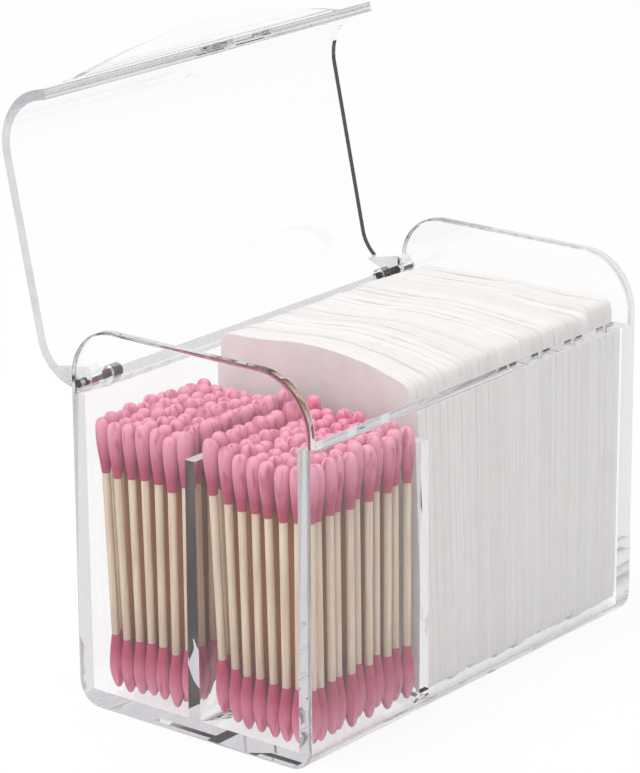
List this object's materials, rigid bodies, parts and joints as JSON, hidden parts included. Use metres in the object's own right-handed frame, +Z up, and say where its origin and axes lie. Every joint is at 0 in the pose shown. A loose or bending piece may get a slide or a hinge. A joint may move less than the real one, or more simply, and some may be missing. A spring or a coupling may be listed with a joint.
{
  "type": "cotton pad storage box",
  "caption": "Clear rectangular box with a hinged clear lid and rounded end panels, divided to hold cotton swabs and square cotton pads.",
  "frame": {"origin": "centre of the box's underside", "axes": "+X along the box's length towards the pads, -Y towards the front, +Z up"},
  "size_m": [0.143, 0.1045, 0.1709],
  "materials": {
    "clear_plastic": "clear, polished acrylic",
    "steel": "plain steel pin",
    "pink_cotton": "pink wound cotton",
    "stick_wood": "plain pale birch sticks",
    "white_cotton": "soft white cotton"
  },
  "bodies": {
    "box": {"box_body": "clear_plastic", "cotton_pad_01": "white_cotton", "cotton_pad_02": "white_cotton", "cotton_pad_03": "white_cotton", "cotton_pad_04": "white_cotton", "cotton_pad_05": "white_cotton", "cotton_pad_06": "white_cotton", "cotton_pad_07": "white_cotton", "cotton_pad_08": "white_cotton", "cotton_pad_09": "white_cotton", "cotton_pad_10": "white_cotton", "cotton_pad_11": "white_cotton", "cotton_pad_12": "white_cotton", "cotton_pad_13": "white_cotton", "cotton_pad_14": "white_cotton", "cotton_pad_15": "white_cotton", "cotton_pad_16": "white_cotton", "cotton_pad_17": "white_cotton", "cotton_pad_18": "white_cotton", "cotton_pad_19": "white_cotton", "cotton_pad_20": "white_cotton", "cotton_pad_21": "white_cotton", "cotton_pad_22": "white_cotton", "cotton_pad_23": "white_cotton", "cotton_pad_24": "white_cotton", "cotton_pad_25": "white_cotton", "cotton_pad_26": "white_cotton", "cotton_pad_27": "white_cotton", "cotton_pad_28": "white_cotton", "cotton_pad_29": "white_cotton", "cotton_pad_30": "white_cotton", "hinge_pin_left": "steel", "hinge_pin_right": "steel", "swabs_back_01": "pink_cotton", "swabs_back_02": "pink_cotton", "swabs_back_03": "pink_cotton", "swabs_back_04": "pink_cotton", "swabs_back_05": "pink_cotton", "swabs_back_06": "pink_cotton", "swabs_back_07": "pink_cotton", "swabs_back_08": "pink_cotton", "swabs_back_09": "pink_cotton", "swabs_back_10": "pink_cotton", "swabs_back_11": "pink_cotton", "swabs_front_01": "pink_cotton", "swabs_front_02": "pink_cotton", "swabs_front_03": "pink_cotton", "swabs_front_04": "pink_cotton", "swabs_front_05": "pink_cotton", "swabs_front_06": "pink_cotton", "swabs_front_07": "pink_cotton", "swabs_front_08": "pink_cotton", "swabs_front_09": "pink_cotton", "swabs_front_10": "pink_cotton", "swabs_front_11": "pink_cotton"},
    "lid": {"lid": "clear_plastic"}
  },
  "joints": [
    {"name": "lid_hinge", "type": "hinge", "parent": "box", "child": "lid", "pos_m": [0, 0.03687, 0.0894], "axis": [1, 0, 0], "range_deg": [0, 102]}
  ]
}
